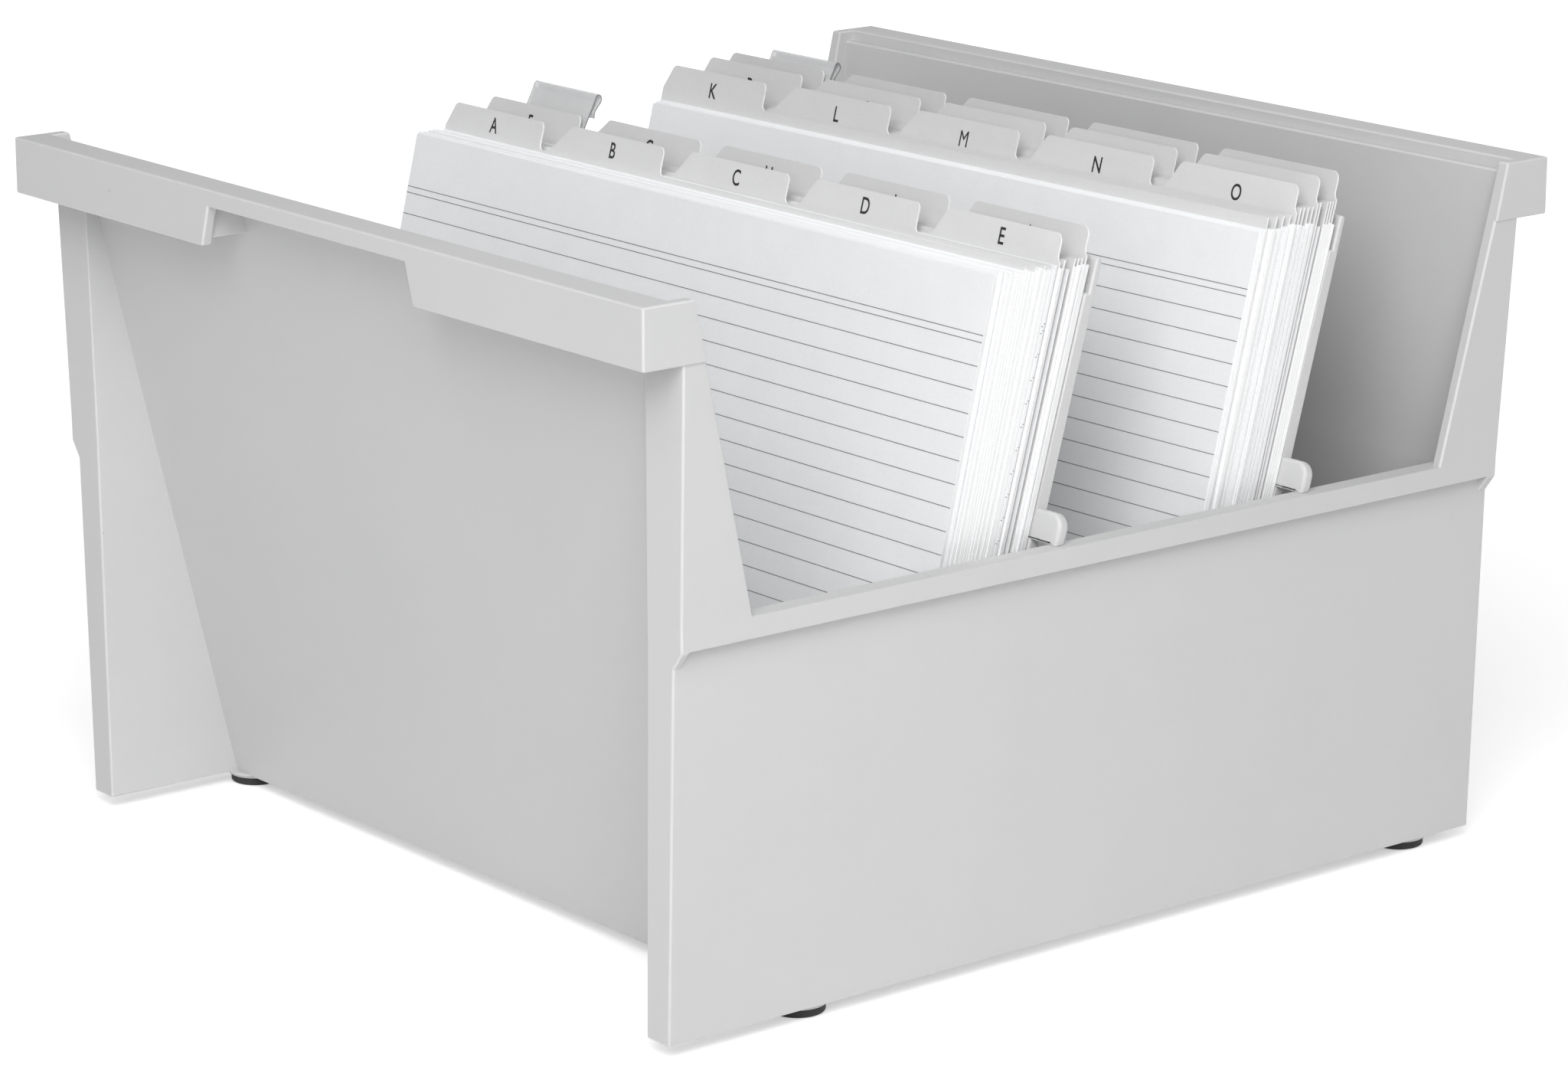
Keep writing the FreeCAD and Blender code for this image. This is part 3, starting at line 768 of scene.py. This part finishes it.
def guide_pieces():
    """Every guide board with its letters, riding with the body of its node."""
    letters = list("abcdefghijklmnopqrstuvw") + ["xy", "z"]
    first_of_pack = {1: 0, 2: letters.index("k")}
    for index, letter in enumerate(letters):
        node = "guide_" + letter
        number = 1 if index < first_of_pack[2] else 2
        place = index % tabs_across
        row = (index - first_of_pack[number]) // tabs_across
        rise = row_rises[number][row]
        plane = board_plane(node)
        skew = skew_at(number, plane[0])
        board = guide_mesh(node, plane, place, skew, rise)
        add_piece(node + "_board", board, body_of(node), "guide_board", [row_shaded_boards[row], "guide_edge"], node)
        middle = (tab_left(place) + tab_pitch / 2) * letter_spread
        height = guide_height + rise + letter_rises[number][row]
        text = letter_mesh("letter_" + letter, letter.upper(), middle, height, plane, skew)
        add_piece("letter_" + letter, text, body_of(node), "guide_board", ["letter_ink"])


def card_pieces():
    """Every card and stack of cards, as single sheets."""
    for node in sorted(frame["nodes"]):
        if node.startswith("cards_"):
            mesh = stack_of_cards(node)
        elif node.startswith("front_card") or node.startswith("rider_card"):
            mesh = single_card(node, int(node[-1]))
        else:
            continue
        add_piece(node + "_sheets", mesh, body_of(node), "card_paper", ["card_paper", "card_edge"], node)


def white_floor():
    """A pale floor. Where the camera sees it, it glows a little, and more so away from the trough."""
    floor = Finish("floor_white")
    path = floor.start.node("ShaderNodeLightPath", {}, {}, "Is Camera Ray")
    glossy = Value(path.tree, path.socket.node.outputs["Is Glossy Ray"])
    through = Value(path.tree, path.socket.node.outputs["Is Transmission Ray"])
    seen = path.maths("MAXIMUM", path.maths("MAXIMUM", path, glossy), through)
    dark, light = floor_levels
    shade = floor.noise(size=0.4, detail=2.0).span(0.0, 1.0).colour(grey(dark), grey(light))
    away = floor.start.node("ShaderNodeVectorMath", {"operation": "LENGTH"}, {0: floor.place}, "Value")
    glow = (seen * away.span(near_floor, far_floor, near_glow, far_glow)).colour(grey(0.0), grey(1.0))
    material = floor.surface({"Base Color": shade, "Roughness": 0.9, "Specular IOR Level": 0.0,
                              "Emission Color": glow, "Emission Strength": 1.0})
    corners = np.array([[x, y, 0.0] for y in (-floor_half, floor_half) for x in (-floor_half, floor_half)])
    mesh = mesh_from("floor", corners, np.array([[0, 1, 3, 2]]))
    mesh.materials.append(material)
    ground = bpy.data.objects.new("floor", mesh)
    bpy.context.scene.collection.objects.link(ground)


def studio_light():
    """An even world and soft square lamps that look at the trough."""
    world = bpy.data.worlds.new("studio")
    world.use_nodes = True
    background = world.node_tree.nodes["Background"]
    background.inputs["Color"].default_value = grey(1.0)
    background.inputs["Strength"].default_value = world_level
    bpy.context.scene.world = world
    for name, (way, distance, power) in lamps.items():
        light = bpy.data.lights.new(name, "AREA")
        light.shape = "SQUARE"
        light.size = lamp_size
        light.energy = power
        lamp = bpy.data.objects.new(name, light)
        way = Vector(way).normalized()
        lamp.location = target + way * distance
        lamp.rotation_euler = way.to_track_quat("Z", "Y").to_euler()
        bpy.context.scene.collection.objects.link(lamp)


def photo_camera():
    """The camera at the photo's angle."""
    lens = bpy.data.cameras.new("camera")
    lens.sensor_width = 36.0
    lens.lens = camera_lens
    lens.clip_end = 50.0
    camera = bpy.data.objects.new("camera", lens)
    azimuth, elevation = math.radians(camera_azimuth), math.radians(camera_elevation)
    back = Vector((math.sin(azimuth) * math.cos(elevation), -math.cos(azimuth) * math.cos(elevation),
                   math.sin(elevation)))
    camera.location = camera_place
    camera.rotation_euler = back.to_track_quat("Z", "Y").to_euler()
    bpy.context.scene.collection.objects.link(camera)
    bpy.context.scene.camera = camera
    bpy.context.scene.view_settings.view_transform = "Standard"


for name, node in frame["nodes"].items():
    slot = next(part["material_slot"] for part in frame["record"]["subparts"] if part["node"] == name)
    node.data.materials.clear()
    node.data.materials.append(finishes[slot])

# The foot y of each pack's first and last leaf
pack_ends = {number: (leaf_planes("front_card_%d" % number)[0][0], leaf_planes(node)[0][-1])
             for number, node in ((1, "cards_1_last"), (2, "cards_2_among_v_to_z"))}
rounded("trough_shell", "trough_body", "trough_plastic", shell_round)
for number in (1, 2):
    rounded("support_plate_%d_shell" % number, "support_plate_%d" % number, "plate_plastic", plate_round)
    rider_pieces(number)
    plane = tuple(values[0] for values in leaf_planes("front_card_%d" % number)[:3])
    lines = ruling("front_card_%d_rules" % number, plane, skew_at(number, plane[0]))
    add_piece("front_card_%d_rules" % number, lines, "front_card_%d" % number, "card_paper", ["rule_ink"])
guide_pieces()
card_pieces()
white_floor()
studio_light()
photo_camera()
